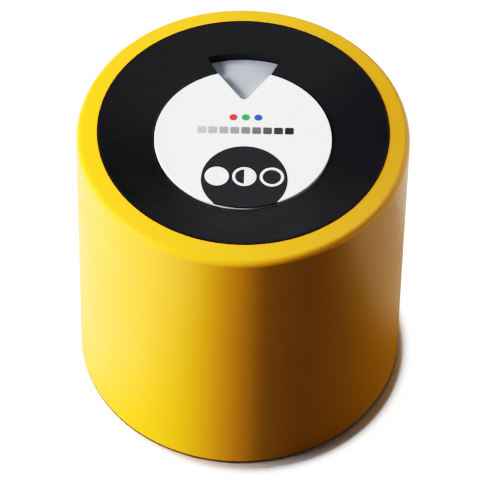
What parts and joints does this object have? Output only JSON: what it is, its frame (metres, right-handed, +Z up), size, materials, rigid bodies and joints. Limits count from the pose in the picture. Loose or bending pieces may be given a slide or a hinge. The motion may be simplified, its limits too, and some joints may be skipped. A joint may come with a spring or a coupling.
{
  "type": "display colorimeter",
  "caption": "Round puck-shaped display colorimeter: painted cylinder, dished black bezel with white label disc and status window, soft contact pad and glass light inlet underneath.",
  "frame": {"origin": "centre of the puck's round axis, at the plane of the soft contact pad it rests on", "axes": "+Z up along the puck's round axis, +Y towards the side with the status window and the cord gland, -Y towards the side with the round badge, +X to the right seen from the badge side"},
  "size_m": [0.036, 0.036, 0.0362],
  "materials": {
    "yellow_paint": "satin enamel",
    "black_gloss": "glossy",
    "seal_silicone": "soft silicone",
    "white_label": "satin printed film",
    "grey_window": "translucent satin acrylic",
    "clear_acrylic": "polished acrylic",
    "black_matt": "matt moulded",
    "pad_suede": "soft suede-like pad",
    "optical_glass": "polished",
    "ir_glass": "polished",
    "filter_glass": "coated, polished",
    "board_green": "solder mask",
    "chip_black": "moulded epoxy",
    "crystal_can": "satin",
    "led_lens": "diffuse lens",
    "connector_natural": "natural nylon",
    "spacer_brass": "turned",
    "screw_steel": "zinc plated",
    "black_rubber": "soft"
  },
  "bodies": {
    "root": {"outer_housing": "yellow_paint", "top_bezel": "black_gloss", "bezel_gasket": "seal_silicone", "label_disc": "white_label", "status_window": "grey_window", "light_guide": "clear_acrylic", "base_cover": "black_matt", "contact_pad": "pad_suede", "glass_retaining_ring": "black_matt", "front_glass": "optical_glass", "light_seal": "seal_silicone", "optics_chassis": "black_matt", "objective_lens": "optical_glass", "lens_spacer": "black_matt", "aperture_stop": "black_matt", "field_lens": "optical_glass", "filter_spacer": "black_matt", "ir_filter": "ir_glass", "colour_filter": "filter_glass", "filter_retainer": "black_matt", "sensor_board": "board_green", "sensor_chip": "chip_black", "main_board": "board_green", "header_socket": "black_matt", "header_plug": "black_matt", "microcontroller": "chip_black", "memory_chip": "chip_black", "crystal_can": "crystal_can", "status_led_1": "led_lens", "status_led_2": "led_lens", "lead_socket": "connector_natural", "board_spacer_1": "spacer_brass", "board_spacer_2": "spacer_brass", "board_spacer_3": "spacer_brass", "board_screw_1": "screw_steel", "board_screw_2": "screw_steel", "board_screw_3": "screw_steel", "base_screw_1": "screw_steel", "base_screw_2": "screw_steel", "base_screw_3": "screw_steel", "cord_gland": "black_rubber", "cord_clamp": "black_matt", "clamp_screw_1": "screw_steel", "clamp_screw_2": "screw_steel"}
  },
  "joints": []
}
